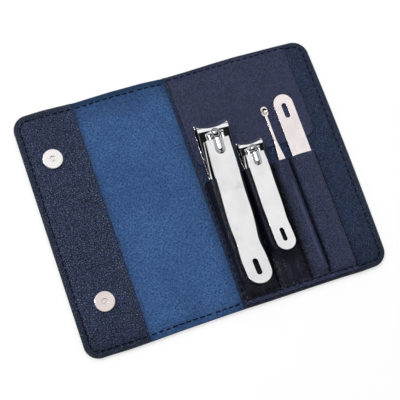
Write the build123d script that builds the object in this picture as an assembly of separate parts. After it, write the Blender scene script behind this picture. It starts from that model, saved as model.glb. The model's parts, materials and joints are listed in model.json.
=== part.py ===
from build123d import *
import os
from math import asin, atan, cos, degrees, radians, sin, tan

# Manicure set case lying open on its back, millimetres.
# +X runs from the snap flap to the tool side, +Y towards the cutting heads, +Z up.
# The origin is under the middle of the open case, on the fold between spine and tool side.

# ---- the case ----
case_height = 118.0
tool_side_width = 75.0
spine_width = 14.0
cover_width = 31.0
snap_flap_width = 30.0
corner_radius = 7.0
outer_leather = 0.8
board = 1.0
lining = 0.8
rim_wall = 0.8
fit_gap = 0.05
fold_gap = 0.3
flap_bend_angle = 20.0

# ---- magnetic snaps on the flap ----
snap_radius = 4.8
snap_height = 1.3
snap_edge_round = 0.35
snap_recess_radius = 1.45
snap_recess_depth = 0.8
snap_pin_radius = 0.75
snap_pin_height = 0.5
snap_stem_radius = 1.5
snap_magnet_inner_radius = 1.9
snap_magnet_outer_radius = 4.0
snap_magnet_thickness = 0.7
snap_washer_radius = 4.2
snap_washer_thickness = 0.5
snap_upper_inset = 13.2
snap_lower_inset = 15.2
snap_upper_y = 35.2
snap_lower_y = -35.3
closure_magnet_radius = 5.0

# ---- protective flap and pocket ----
soft_leather = 0.7
soft_gap = 0.25
tool_gap = 0.3
guard_left = 2.0
guard_right = 63.5
guard_lower_y = 11.0
guard_top_inset = 1.2
guard_corner = 4.5
pocket_left = 1.4
pocket_right = 59.6
pocket_mouth_y = 3.0
pocket_bottom_inset = 1.4
channel_side_gap = 0.4
channel_end_gap = 1.2
channel_past_mouth = 4.0
channel_splay = 2.5

# ---- large clipper ----
large_pin_x = 13.0
large_pin_y = 22.8
large_lean = 2.7
large_head_reach = 7.2
large_tail_reach = 72.8
large_jaw_width = 15.5
large_tail_width = 12.5
large_sheet = 1.6
large_head_height = 8.5
large_mouth_height = 4.6
large_jaw_gap = 1.7
large_edge_hollow = 1.6
large_knuckle_bend = 3.4
large_stem_radius = 1.5
large_knob_radius = 2.4
large_base_radius = 3.0
large_bar_radius = 0.7
large_bar_rise = 1.2
large_lever_reach = 74.0
large_lever_sheet = 1.5
large_lever_setback = 2.9
large_lever_width = 11.7
large_lever_neck = 10.7
large_lever_tail_width = 11.8
large_lever_crease_reach = 28.7
large_lever_crease_dip = 2.3
large_lever_dip = 3.35
large_lever_tail_length = 19.0
large_lever_flare = 5.9
large_neck_length = 20.5
large_neck_ramp = 6.5
large_fulcrum_width = 4.6
large_fulcrum_height = 1.7
large_fulcrum_length = 7.4
large_slot_length = 8.0
large_slot_width = 2.6
large_slot_inset = 8.2

# ---- small clipper ----
small_pin_x = 28.4
small_pin_y = 11.1
small_lean = 1.2
small_head_reach = 5.5
small_tail_reach = 49.6
small_jaw_width = 12.0
small_tail_width = 9.6
small_sheet = 1.2
small_head_height = 6.4
small_mouth_height = 4.8
small_jaw_gap = 1.3
small_edge_hollow = 1.2
small_knuckle_bend = 2.5
small_stem_radius = 1.15
small_knob_radius = 1.95
small_base_radius = 2.4
small_bar_radius = 0.55
small_bar_rise = 1.0
small_lever_reach = 51.0
small_lever_sheet = 1.2
small_lever_setback = 2.35
small_lever_width = 9.4
small_lever_neck = 9.0
small_lever_tail_width = 9.3
small_lever_crease_reach = 15.8
small_lever_crease_dip = 0.6
small_lever_dip = 0.95
small_lever_tail_length = 14.5
small_lever_flare = 2.8
small_neck_length = 14.5
small_neck_ramp = 5.0
small_fulcrum_width = 3.8
small_fulcrum_height = 1.3
small_fulcrum_length = 6.2
small_slot_length = 6.6
small_slot_width = 2.1
small_slot_inset = 7.6

# ---- shared by both clippers ----
running_gap = 0.05
swing_gap = 0.5
seat_gap = 0.15
rivet_radius = 1.3
rivet_head_radius = 2.2
rivet_head_height = 0.5
rivet_inset = 4.2
finger_share = 0.85
roof_share = 0.8
crown_share = 1.3
finger_gap = 0.2
eye_wall = 0.2
cutting_edge = 0.3
jaw_slope = 50.0
pin_base_depth = 0.6
arm_break_margin = 2.0
lever_front_taper = 0.6
hinge_bend = 40.0
break_bend = 12.0
lever_bend = 22.0

# ---- ear pick ----
pick_x = 42.2
pick_tip_y = 30.8
pick_length = 83.0
pick_handle_width = 3.4
pick_thickness = 1.1
pick_neck_width = 1.2
pick_taper_length = 10.0
pick_spoon_width = 3.4
pick_spoon_length = 5.0
pick_bowl_radius = 2.6
pick_bowl_depth = 0.6

# ---- nail file ----
file_x = 52.7
file_top_y = 34.3
file_length = 88.0
file_width = 9.8
file_thickness = 1.0
file_tip_width = 6.0
file_tip_length = 18.0
file_slot_length = 7.6
file_slot_width = 2.6
file_slot_inset = 8.4

# ---- derived places ----
half_height = case_height / 2
board_floor = outer_leather
lining_floor = outer_leather + board
case_thickness = outer_leather + board + lining
tool_floor = case_thickness + soft_leather + tool_gap
cover_fold_x = -spine_width
flap_fold_x = cover_fold_x - cover_width
flap_edge_x = flap_fold_x - snap_flap_width
nodes = {}


def panel(left, right, floor, height, inset=0.0, open_left=False, open_right=False):
    """Slab of one case panel. A fold side stays square and is never inset."""
    x_low = left + (fold_gap / 2 if open_left else inset)
    x_high = right - (fold_gap / 2 if open_right else inset)
    y_half = half_height - inset
    middle = ((x_low + x_high) / 2, 0, floor)
    slab = Pos(*middle) * Box(
        x_high - x_low,
        2 * y_half,
        height,
        align=(Align.CENTER, Align.CENTER, Align.MIN),
    )
    uprights = slab.edges().filter_by(Axis.Z).sort_by(Axis.X)
    rounded = []
    if not open_left:
        rounded += uprights[:2]
    if not open_right:
        rounded += uprights[-2:]
    if rounded:
        slab = fillet(rounded, corner_radius - inset)
    return slab


def shell(left, right, **folds):
    """Outer leather with its edge turned up round the board and the lining."""
    base = panel(left, right, 0, case_thickness, **folds)
    hollow = panel(left, right, outer_leather, case_thickness, rim_wall, **folds)
    return base - hollow


def filling(left, right, floor, height, **folds):
    """A layer that lies inside the turned edge."""
    return panel(left, right, floor, height, rim_wall + fit_gap, **folds)


def disc(x, y, floor, radius, height):
    return Pos(x, y, floor) * Cylinder(
        radius, height, align=(Align.CENTER, Align.CENTER, Align.MIN)
    )


# ---- where the snaps sit, and where they land when the case is closed ----
snap_places = [
    (flap_edge_x + snap_upper_inset, snap_upper_y),
    (flap_edge_x + snap_lower_inset, snap_lower_y),
]


def landing(place):
    """Point of the tool side above which a snap comes down."""
    along_flap = flap_fold_x - place[0]
    return (cover_width + along_flap * cos(radians(flap_bend_angle)), place[1])


# ---- tool side: outer leather, board, closure magnets, lining ----
tool_side = dict(left=0, right=tool_side_width)
tool_folds = dict(open_left=True)
nodes["tool_side_shell"] = shell(**tool_side, **tool_folds)
tool_board = filling(**tool_side, floor=board_floor, height=board, **tool_folds)
magnets = []
for place in snap_places:
    x, y = landing(place)
    tool_board -= disc(x, y, board_floor, closure_magnet_radius + fit_gap, board)
    magnets.append(disc(x, y, board_floor, closure_magnet_radius, board))
nodes["tool_side_board"] = tool_board
nodes["closure_magnets"] = Compound(children=magnets)
nodes["tool_side_lining"] = filling(
    **tool_side, floor=lining_floor, height=lining, **tool_folds
)

# ---- spine: outer leather, soft interlining, lining ----
spine = dict(left=cover_fold_x, right=0)
both_folds = dict(open_left=True, open_right=True)
nodes["spine_shell"] = shell(**spine, **both_folds)
nodes["spine_interlining"] = filling(
    **spine, floor=board_floor, height=board, **both_folds
)
nodes["spine_lining"] = filling(**spine, floor=lining_floor, height=lining, **both_folds)

# ---- cover: outer leather, board, lining ----
cover = dict(left=flap_fold_x, right=cover_fold_x)
nodes["cover_shell"] = shell(**cover, **both_folds)
nodes["cover_board"] = filling(**cover, floor=board_floor, height=board, **both_folds)
nodes["cover_lining"] = filling(**cover, floor=lining_floor, height=lining, **both_folds)

# ---- snap flap: outer leather, board, leather facing, two magnetic snaps ----
snap_flap = dict(left=flap_edge_x, right=flap_fold_x)
flap_folds = dict(open_right=True)
nodes["snap_flap_shell"] = shell(**snap_flap, **flap_folds)
flap_board = filling(**snap_flap, floor=board_floor, height=board, **flap_folds)
flap_facing = filling(**snap_flap, floor=lining_floor, height=lining, **flap_folds)


def snap_disc(x, y):
    """Cap of a magnetic snap with its recess, centre pin, magnet seat and stem."""
    cap = disc(x, y, case_thickness, snap_radius, snap_height)
    rim = cap.edges().filter_by(GeomType.CIRCLE).sort_by(Axis.Z)[-1]
    cap = fillet(rim, snap_edge_round)
    crown = case_thickness + snap_height
    recess_floor = crown - snap_recess_depth
    cap -= disc(x, y, recess_floor, snap_recess_radius, snap_recess_depth)
    cap += disc(x, y, recess_floor, snap_pin_radius, snap_pin_height)
    seat_height = snap_magnet_thickness + fit_gap
    seat = disc(x, y, case_thickness, snap_magnet_outer_radius + fit_gap, seat_height)
    seat -= disc(x, y, case_thickness, snap_magnet_inner_radius - fit_gap, seat_height)
    stem_length = lining + snap_washer_thickness
    stem = disc(x, y, case_thickness - stem_length, snap_stem_radius, stem_length)
    return cap - seat + stem


snap_magnets = []
snap_washers = []
for name, (x, y) in zip(("upper", "lower"), snap_places):
    nodes["snap_disc_" + name] = snap_disc(x, y)
    ring = disc(x, y, case_thickness, snap_magnet_outer_radius, snap_magnet_thickness)
    ring -= disc(x, y, case_thickness, snap_magnet_inner_radius, snap_magnet_thickness)
    snap_magnets.append(ring)
    washer_floor = lining_floor - snap_washer_thickness
    washer = disc(x, y, washer_floor, snap_washer_radius, snap_washer_thickness)
    stem_hole = disc(x, y, 0, snap_stem_radius + fit_gap, case_thickness)
    snap_washers.append(washer - stem_hole)
    flap_facing -= stem_hole
    flap_board -= disc(x, y, board_floor, snap_washer_radius + fit_gap, board)
nodes["snap_flap_board"] = flap_board
nodes["snap_flap_facing"] = flap_facing
nodes["snap_magnets"] = Compound(children=snap_magnets)
nodes["snap_washers"] = Compound(children=snap_washers)

# ---- protective flap, held behind the tools ----
guard_top = half_height - guard_top_inset
guard = Pos((guard_left + guard_right) / 2, (guard_lower_y + guard_top) / 2, case_thickness) * Box(
    guard_right - guard_left,
    guard_top - guard_lower_y,
    soft_leather,
    align=(Align.CENTER, Align.CENTER, Align.MIN),
)
lower_corners = guard.edges().filter_by(Axis.Z).sort_by(Axis.Y)[:2]
nodes["protective_flap"] = fillet(lower_corners, guard_corner)


class Clipper:
    """Lever nail clipper, stowed: the lever lies along the arms with its fulcrum up.

    It is built about its pin, which stands on the origin, with the head towards +Y
    and the underside of the lower arm at z = 0.
    """

    def __init__(self, **sizes):
        self.__dict__.update(sizes)
        self.place = Location((self.pin_x, self.pin_y, tool_floor), (0, 0, -self.lean))
        turn = radians(self.lean)
        self.mouth_y = (pocket_mouth_y - self.pin_y) / cos(turn)
        self.break_y = self.mouth_y + self.jaw_width / 2 * sin(turn) + arm_break_margin
        self.rivet_y = rivet_inset - self.tail_reach
        self.hinge_y = self.rivet_y + rivet_inset
        self.bar_z = self.head_height + self.bar_rise
        self.bite_z = self.head_height / 2
        self.squeeze_span = self.head_reach - self.hinge_y

    def squeeze_angle(self):
        """Travel of the upper arm, in degrees, that all but closes the jaws."""
        return degrees(asin((self.jaw_gap - cutting_edge) / self.squeeze_span))

    def width_at(self, y):
        """Width of the arms, tapering evenly from the jaws to the tail."""
        share = (self.head_reach - y) / (self.head_reach + self.tail_reach)
        return self.jaw_width + (self.tail_width - self.jaw_width) * share

    def arm_plan(self):
        """Both arms seen from above, straight across the jaws and round at the tail."""
        jaw = self.jaw_width / 2
        tail = self.tail_width / 2
        shoulder_y = tail - self.tail_reach
        front = self.head_reach
        round_tail = ThreePointArc((-tail, shoulder_y), (0, -self.tail_reach), (tail, shoulder_y))
        right_side = Line((tail, shoulder_y), (jaw, front))
        front_line = Line((jaw, front), (-jaw, front))
        left_side = Line((-jaw, front), (-tail, shoulder_y))
        outline = make_face([round_tail, right_side, front_line, left_side])
        return extrude(outline, self.bar_z)

    def bent_strip(self, points, bends, sheet):
        """Sheet bent along a line in the YZ plane and laid out across X."""
        section = trace(FilletPolyline(*points, radius=bends), line_width=sheet)
        return extrude(Plane.YZ * section, self.jaw_width, both=True)

    def bite(self):
        """The open gap between the jaws, which leaves both edges flat inside."""
        return Pos(0, self.head_reach, self.bite_z) * Box(
            self.jaw_width * 2, self.head_height * 2, self.jaw_gap
        )

    def hollow(self, side):
        """Cone that hollows a cutting edge: side is 1 for the upper jaw, -1 for the lower."""
        half = self.jaw_width / 2
        radius = (half**2 + self.edge_hollow**2) / (2 * self.edge_hollow)
        centre_y = self.head_reach - self.edge_hollow + radius
        edge_z = self.bite_z + side * (self.jaw_gap / 2 + cutting_edge)
        grown = radius + self.bite_z / tan(radians(jaw_slope))
        cone = Cone(radius, grown, self.bite_z, align=(Align.CENTER, Align.CENTER, Align.MIN))
        stub = Cylinder(radius, self.bite_z, align=(Align.CENTER, Align.CENTER, Align.MAX))
        tilt = Rot(0, 0, 0) if side > 0 else Rot(180, 0, 0)
        return Pos(0, centre_y, edge_z) * tilt * (cone + stub)

    def jaw_path(self, side):
        """Middle line of a jaw from the arm's end of the flat to inside the bite."""
        middle = self.sheet / 2
        outer_z = self.head_height if side > 0 else 0
        drop = self.bite_z - self.jaw_gap / 2 - cutting_edge
        slope = tan(radians(jaw_slope))
        knuckle_y = self.head_reach - drop / slope - middle * tan(radians(jaw_slope / 2))
        run = (self.bite_z - middle) / slope
        return [(knuckle_y, outer_z - side * middle), (knuckle_y + run, self.bite_z)]

    def lower_arm(self):
        tail_end = (-self.tail_reach - self.sheet, self.sheet / 2)
        points = [tail_end] + self.jaw_path(-1)
        arm = self.bent_strip(points, self.knuckle_bend, self.sheet) & self.arm_plan()
        arm = arm - self.bite() - self.hollow(-1)
        arm -= disc(0, 0, 0, self.stem_radius + running_gap, self.sheet)
        arm -= disc(0, 0, 0, self.base_radius + running_gap, pin_base_depth)
        arm -= disc(0, self.rivet_y, 0, rivet_radius + running_gap, self.sheet)
        arm -= disc(0, self.rivet_y, 0, rivet_head_radius + running_gap, rivet_head_height)
        return arm

    def upper_arm(self):
        middle = self.sheet / 2
        points = [
            (-self.tail_reach - self.sheet, self.sheet + middle),
            (self.hinge_y, self.sheet + middle),
            (self.break_y, self.mouth_height - middle),
        ] + self.jaw_path(1)
        bends = [hinge_bend, break_bend, self.knuckle_bend]
        arm = self.bent_strip(points, bends, self.sheet) & self.arm_plan()
        arm = arm - self.bite() - self.hollow(1)
        head_seat = self.sheet * 2 - rivet_head_height - seat_gap
        arm -= disc(0, 0, 0, self.stem_radius + swing_gap, self.bar_z)
        arm -= disc(0, self.rivet_y, 0, rivet_radius + seat_gap, self.bar_z)
        arm -= disc(0, self.rivet_y, head_seat, rivet_head_radius + seat_gap, self.bar_z)
        return arm

    def rivet(self):
        head_gap = running_gap
        length = self.sheet * 2
        shank = disc(0, self.rivet_y, 0, rivet_radius, length)
        lower_head = disc(0, self.rivet_y, 0, rivet_head_radius, rivet_head_height - head_gap)
        upper_floor = length - rivet_head_height
        upper_head = disc(0, self.rivet_y, upper_floor, rivet_head_radius, rivet_head_height)
        return shank + lower_head + upper_head

    def pin(self):
        """Base head, stem and round knob. The lever's bar turns in the knob's cross hole."""
        base = disc(0, 0, 0, self.base_radius, pin_base_depth - running_gap)
        stem = disc(0, 0, 0, self.stem_radius, self.bar_z)
        knob = Pos(0, 0, self.bar_z) * Sphere(self.knob_radius)
        knob_floor = self.head_height + seat_gap
        knob -= disc(0, 0, 0, self.knob_radius * 2, knob_floor)
        crown_radius = self.knob_radius * crown_share
        crown_z = self.bar_z + self.knob_radius * roof_share - crown_radius
        knob &= Pos(0, 0, crown_z) * Sphere(crown_radius)
        cross_hole = Pos(0, 0, self.bar_z) * Rot(0, 90, 0) * Cylinder(
            self.bar_radius + running_gap, self.knob_radius * 4
        )
        return base + stem + knob - cross_hole

    def lever_plan(self):
        """The lever seen from above: slight taper to a neck, then a round thumb end."""
        front = (self.lever_width - lever_front_taper) / 2
        middle = self.lever_width / 2
        neck = self.lever_neck / 2
        tail = self.lever_tail_width / 2
        neck_y = self.neck_length - self.lever_reach
        tail_y = tail - self.lever_reach
        right_points = [
            (front, -self.lever_setback),
            (middle, -self.lever_crease_reach / 2),
            (middle, -self.lever_crease_reach),
            (middle, neck_y + self.neck_ramp),
            (neck, neck_y),
            (tail, neck_y - self.neck_ramp),
            (tail, tail_y),
        ]
        left_points = [(-x, y) for x, y in right_points]
        right_side = Spline(*right_points, tangents=[(0, -1), (0, -1)])
        left_side = Spline(*left_points, tangents=[(0, -1), (0, -1)])
        front_edge = Line(left_points[0], right_points[0])
        thumb_end = ThreePointArc(right_points[-1], (0, -self.lever_reach), left_points[-1])
        return make_face([right_side, thumb_end, left_side, front_edge])

    def fulcrum(self):
        """Pressed nose on the lever's outer face, rounded towards the thumb end."""
        half = self.fulcrum_width / 2
        rise = self.fulcrum_height
        radius = (half**2 + rise**2) / (2 * rise)
        axis_z = self.bar_z + self.lever_sheet / 2 + rise - radius
        front_y = -self.lever_setback
        round_y = front_y - self.fulcrum_length + half
        barrel_length = front_y - round_y
        barrel = Pos(0, (front_y + round_y) / 2, axis_z) * Rot(90, 0, 0) * Cylinder(
            radius, barrel_length
        )
        nose = barrel + Pos(0, round_y, axis_z) * Sphere(radius)
        return nose - disc(0, 0, 0, self.lever_reach, self.bar_z)

    def lever(self):
        thumb_bend_y = self.lever_tail_length - self.lever_reach
        low = self.bar_z - self.lever_dip
        end_y = -self.lever_reach - self.lever_sheet
        points = [
            (-self.lever_setback, self.bar_z),
            (-self.lever_crease_reach, self.bar_z - self.lever_crease_dip),
            (thumb_bend_y, low),
            (end_y, low + self.lever_flare),
        ]
        plate = self.bent_strip(points, lever_bend, self.lever_sheet)
        plate = plate & extrude(self.lever_plan(), self.bar_z * 2)
        slot_y = self.slot_inset - self.lever_reach
        slot = SlotOverall(self.slot_length, self.slot_width, rotation=90)
        plate -= extrude(Pos(0, slot_y) * slot, self.bar_z * 2)
        finger_width = self.lever_sheet * finger_share
        finger_inner = self.knob_radius + finger_gap
        finger_outer = finger_inner + finger_width
        finger_root = -self.lever_setback - self.lever_sheet
        for side in (-1, 1):
            across = side * (finger_inner + finger_outer) / 2
            finger = Pos(across, finger_root / 2, self.bar_z) * Rot(90, 0, 0) * Cylinder(
                finger_width / 2, -finger_root
            )
            eye = Pos(across, 0, self.bar_z) * Rot(0, 90, 0) * Cylinder(
                self.bar_radius + eye_wall, finger_width
            )
            plate = plate + finger + eye
        bar = Pos(0, 0, self.bar_z) * Rot(0, 90, 0) * Cylinder(self.bar_radius, finger_outer * 2)
        return plate + bar + self.fulcrum()

    def channel(self, skin):
        """Room for both arms inside the pocket, made larger all round by skin."""
        floor_z = case_thickness - tool_floor
        gap = soft_gap + skin
        side = channel_side_gap + skin
        far_y = -self.tail_reach - channel_end_gap - skin
        near_y = self.break_y + channel_past_mouth
        flat_top = self.sheet * 2
        slope = (self.mouth_height - flat_top) / (self.break_y - self.hinge_y)
        near_top = self.mouth_height + slope * (near_y - self.break_y)
        tall = near_top + gap - floor_z
        splay = channel_splay if skin else 0
        profile = Polyline(
            (far_y - splay, floor_z),
            (far_y - splay, flat_top + gap),
            (self.hinge_y, flat_top + gap),
            (near_y, near_top + gap),
            (near_y, floor_z),
            close=True,
        )
        solid = extrude(Plane.YZ * make_face(profile), self.jaw_width, both=True)
        far_half = self.tail_width / 2 + side
        near_half = self.width_at(near_y) / 2 + side
        plan = Polyline(
            (-far_half - splay, far_y - splay),
            (far_half + splay, far_y - splay),
            (near_half + splay, near_y + splay),
            (-near_half - splay, near_y + splay),
            close=True,
        )
        lean_in = degrees(atan(splay / tall))
        walls = Pos(0, 0, floor_z) * extrude(make_face(plan), tall, taper=lean_in)
        return self.place * (solid & walls)

    def add_nodes(self):
        for piece in ("lower_arm", "upper_arm", "rivet", "pin", "lever"):
            nodes[self.name + "_" + piece] = self.place * getattr(self, piece)()


def clipper(name):
    """Gather the driving sizes whose names start with this clipper's name."""
    start = name + "_"
    sizes = {key[len(start):]: value for key, value in globals().items() if key.startswith(start)}
    return Clipper(name=name, **sizes)


clippers = [clipper("large"), clipper("small")]
for tool in clippers:
    tool.add_nodes()

# ---- ear pick ----
pick_end_y = pick_tip_y - pick_length
pick_neck_y = pocket_mouth_y + pick_taper_length
pick_spoon_y = pick_tip_y - pick_spoon_length / 2
handle_half = pick_handle_width / 2
neck_half = pick_neck_width / 2
pick_plan = Polyline(
    (-handle_half, pick_end_y),
    (handle_half, pick_end_y),
    (handle_half, pocket_mouth_y),
    (neck_half, pick_neck_y),
    (neck_half, pick_spoon_y),
    (-neck_half, pick_spoon_y),
    (-neck_half, pick_neck_y),
    (-handle_half, pocket_mouth_y),
    close=True,
)
pick = extrude(make_face(pick_plan), pick_thickness)
pick_spoon = SlotOverall(pick_spoon_length, pick_spoon_width, rotation=90)
pick += extrude(Pos(0, pick_spoon_y) * pick_spoon, pick_thickness)
bowl_z = pick_thickness + pick_bowl_radius - pick_bowl_depth
pick -= Pos(0, pick_spoon_y, bowl_z) * Sphere(pick_bowl_radius)
nodes["ear_pick"] = Pos(pick_x, 0, tool_floor) * pick

# ---- nail file ----
file_end_y = file_top_y - file_length
file_half = file_width / 2
file_tip_half = file_tip_width / 2
file_shoulder_y = file_top_y - file_half
file_taper_y = file_end_y + file_tip_length
file_sides = [
    Line((file_half, file_shoulder_y), (file_half, file_taper_y)),
    Line((file_half, file_taper_y), (file_tip_half, file_end_y + file_tip_half)),
    ThreePointArc(
        (file_tip_half, file_end_y + file_tip_half),
        (0, file_end_y),
        (-file_tip_half, file_end_y + file_tip_half),
    ),
    Line((-file_tip_half, file_end_y + file_tip_half), (-file_half, file_taper_y)),
    Line((-file_half, file_taper_y), (-file_half, file_shoulder_y)),
    ThreePointArc((-file_half, file_shoulder_y), (0, file_top_y), (file_half, file_shoulder_y)),
]
blade = extrude(make_face(file_sides), file_thickness)
file_slot = SlotOverall(file_slot_length, file_slot_width, rotation=90)
blade -= extrude(Pos(0, file_top_y - file_slot_inset) * file_slot, file_thickness)
nodes["nail_file"] = Pos(file_x, 0, tool_floor) * blade


def flat_channel(x, width, end_y, thickness, skin):
    """Room for a flat tool inside the pocket, made larger all round by skin."""
    half = width / 2 + channel_side_gap + skin
    low_y = end_y - channel_end_gap - skin
    high_y = pocket_mouth_y + channel_past_mouth
    height = tool_floor + thickness + soft_gap + skin - case_thickness
    return Pos(x, (low_y + high_y) / 2, case_thickness) * Box(
        half * 2, high_y - low_y, height, align=(Align.CENTER, Align.CENTER, Align.MIN)
    )


# ---- pocket: one sheet sewn down between the tools and raised over each of them ----
pocket_bottom = pocket_bottom_inset - half_height


def over_pocket(height):
    """Block of the given height on the pocket's whole sewn area."""
    centre = ((pocket_left + pocket_right) / 2, (pocket_bottom + pocket_mouth_y) / 2)
    return Pos(*centre, case_thickness) * Box(
        pocket_right - pocket_left,
        pocket_mouth_y - pocket_bottom,
        height,
        align=(Align.CENTER, Align.CENTER, Align.MIN),
    )


pocket = over_pocket(soft_leather)
flat_tools = [
    (pick_x, pick_handle_width, pick_end_y, pick_thickness),
    (file_x, file_width, file_end_y, file_thickness),
]
for tool in clippers:
    pocket += tool.channel(soft_leather) & over_pocket(tool.bar_z)
for flat_tool in flat_tools:
    pocket += flat_channel(*flat_tool, soft_leather)
for tool in clippers:
    pocket -= tool.channel(0)
for flat_tool in flat_tools:
    pocket -= flat_channel(*flat_tool, 0)
nodes["pocket_panel"] = pocket & over_pocket(case_height)

# ---- one file for each node ----
os.makedirs("parts", exist_ok=True)
for name, solid in nodes.items():
    export_step(solid, "parts/" + name + ".step")
for tool in clippers:
    print(tool.name, "squeeze", round(tool.squeeze_angle(), 3), "hinge", tool.hinge_y)
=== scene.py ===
import json
import math

import bpy
import numpy as np
from mathutils import Matrix, Vector


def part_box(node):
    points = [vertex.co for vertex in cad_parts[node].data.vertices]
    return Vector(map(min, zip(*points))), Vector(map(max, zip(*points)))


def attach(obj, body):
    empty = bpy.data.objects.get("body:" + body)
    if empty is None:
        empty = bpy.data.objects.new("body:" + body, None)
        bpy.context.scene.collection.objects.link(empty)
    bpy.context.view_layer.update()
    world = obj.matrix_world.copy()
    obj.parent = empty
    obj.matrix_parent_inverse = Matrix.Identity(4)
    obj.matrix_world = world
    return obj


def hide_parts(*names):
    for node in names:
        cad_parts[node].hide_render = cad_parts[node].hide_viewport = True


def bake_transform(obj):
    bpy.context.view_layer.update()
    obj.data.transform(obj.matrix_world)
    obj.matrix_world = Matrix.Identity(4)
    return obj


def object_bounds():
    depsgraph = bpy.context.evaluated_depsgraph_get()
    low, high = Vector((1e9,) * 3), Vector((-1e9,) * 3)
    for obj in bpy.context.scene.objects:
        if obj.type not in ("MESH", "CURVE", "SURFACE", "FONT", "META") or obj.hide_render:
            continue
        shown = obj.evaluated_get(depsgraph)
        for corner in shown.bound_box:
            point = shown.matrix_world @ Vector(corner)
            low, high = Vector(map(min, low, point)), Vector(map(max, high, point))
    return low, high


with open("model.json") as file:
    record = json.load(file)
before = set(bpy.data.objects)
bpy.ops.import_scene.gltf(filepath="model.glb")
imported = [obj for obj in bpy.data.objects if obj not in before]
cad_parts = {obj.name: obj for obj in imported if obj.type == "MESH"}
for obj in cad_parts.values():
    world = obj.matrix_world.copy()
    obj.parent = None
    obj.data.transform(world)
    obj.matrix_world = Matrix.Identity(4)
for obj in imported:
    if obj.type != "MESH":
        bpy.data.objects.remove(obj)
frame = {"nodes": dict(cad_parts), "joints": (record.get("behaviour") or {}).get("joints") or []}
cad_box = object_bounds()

MM = 0.001

# ---------------------------------------------------------------- sizes, in millimetres
JOINTS = {joint["name"]: joint for joint in frame["joints"]}


def millimetres(metres):
    return [round(c / MM, 3) for c in metres]


def joint_place(name):
    return millimetres(JOINTS[name]["pos_m"])


def extent(node, axis):
    """Where a CAD node starts and ends along one axis."""
    low_corner, high_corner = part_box(node)
    return millimetres(low_corner)[axis], millimetres(high_corner)[axis]


HALF_W, HALF_H = millimetres(cad_box[1])[:2]    # the open case
TOP = joint_place("spine_fold")[2]              # top of the facings
FOLD_A = joint_place("spine_fold")[0]
FOLD_B = joint_place("cover_fold")[0]
FOLD_C = joint_place("flap_bend")[0]
SPINE_MIDDLE = (FOLD_A + FOLD_B) / 2            # the suede and the skin are joined here
COVER_MIDDLE = (FOLD_B + FOLD_C) / 2
BASE_EDGE = FOLD_A + 0.25                       # the inner edges of the two facings
STRIP_EDGE = FOLD_C - 0.35
SUEDE_X = FOLD_C - 2.0, FOLD_A + 0.2            # the suede runs on under the strip's facing
GUARD_X, GUARD_Y = extent("protective_flap", 0), extent("protective_flap", 1)
POCKET_X, POCKET_Y = extent("pocket_panel", 0), extent("pocket_panel", 1)
CORNER = 7.0
GUARD_CORNER = 4.5
STITCH_INSET = 2.85
GUARD_SEAM_Y = HALF_H - 2.0          # the protective flap is sewn nearer the edge
POCKET_SEAM_Y = -HALF_H + 3.4        # and the pocket further in
STITCH_PITCH = 3.3
STITCH_LENGTH = 2.55
STITCH_RADIUS = 0.3
SEAM_RADIUS = 0.42                   # the pocket's seams, pulled down hard into the leather
THREAD_FLAT = 0.75                   # a stitch's height as a share of its width
THREAD_SIDES, THREAD_RINGS = 8, 3
THREAD_DIP = 0.34                    # how far a stitch's ends dive into their holes
THREAD_LIFT = 0.02                   # how far the rows on flat leather and suede are raised
THREAD_MIDDLE = 0.16                 # height of a stitch's middle over its row
# no two stitches are alike: radians, millimetres, and a share of the length
SEWN_SWING, SEWN_WANDER, SEWN_UNEVEN = 0.035, 0.05, 0.04


# ---------------------------------------------------------------- small maths
def smooth(t, low, high):
    t = np.clip((t - low) / (high - low), 0, 1)
    return t * t * (3 - 2 * t)


def bell(t, middle, width):
    return np.exp(-(((t - middle) / width) ** 2))


RIPPLE_WAVES, RIPPLE_SIZE = 7, 4      # how many waves it has, and the size of their sum


def ripple(x, y, length, seed, stretch=1.0):
    """Soft random relief between about -1 and 1; length is its wavelength."""
    rng = np.random.default_rng(seed)
    total = np.zeros(np.broadcast(x, y).shape)
    for _ in range(RIPPLE_WAVES):
        angle, phase = rng.uniform(0, math.tau, 2)
        wave = math.tau / (length * rng.uniform(0.7, 1.5))
        total = total + np.sin(
            wave * (np.cos(angle) * x + np.sin(angle) * y / stretch) + phase
        )
    return total / RIPPLE_SIZE


def ticks(low, high, step, near_low=(), near_high=(), extra=()):
    """Grid lines between two ends, closer together where the lists ask."""
    fixed = [low + d for d in near_low] + [high - d for d in near_high] + list(extra)
    fixed = sorted({round(t, 4) for t in [low, high, *fixed] if low <= t <= high})
    out = [fixed[0]]
    for t in fixed[1:]:
        parts = max(1, int(math.ceil((t - out[-1]) / step - 1e-6)))
        out += list(np.linspace(out[-1], t, parts + 1)[1:])
    return np.array(out)


# distances from an edge at which the grids have a line: a sewn rim, and a plain hem
RIM = (0.0, 0.05, 0.16, 0.33, 0.55, 0.85, 1.3, 1.8, 2.3, 2.65, 3.0, 3.35, 3.8, 4.6, 5.7, 7.0)
HEM = (0.0, 0.06, 0.18, 0.36, 0.6, 1.0, 1.6)


def quarter_disc(a, b):
    """Bends the square corner of a grid into a quarter disc. a and b start at the arc's
    centre, and only points past it both ways are in the corner."""
    inside = (a > 1e-9) & (b > 1e-9)
    a_safe, b_safe = np.where(inside, a, 1), np.where(inside, b, 1)
    reach = np.maximum(a_safe, b_safe)
    turn = np.where(
        a_safe >= b_safe,
        math.pi / 4 * b_safe / a_safe,
        math.pi / 2 - math.pi / 4 * a_safe / b_safe,
    )
    return inside, reach * np.cos(turn), reach * np.sin(turn)


def corner_map(x, y):
    """Bends a square grid round the case's four rounded corners."""
    straight_x, straight_y = HALF_W - CORNER, HALF_H - CORNER
    inside, out_x, out_y = quarter_disc(np.abs(x) - straight_x, np.abs(y) - straight_y)
    new_x = np.sign(x) * (straight_x + out_x)
    new_y = np.sign(y) * (straight_y + out_y)
    return np.where(inside, new_x, x), np.where(inside, new_y, y)


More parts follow.
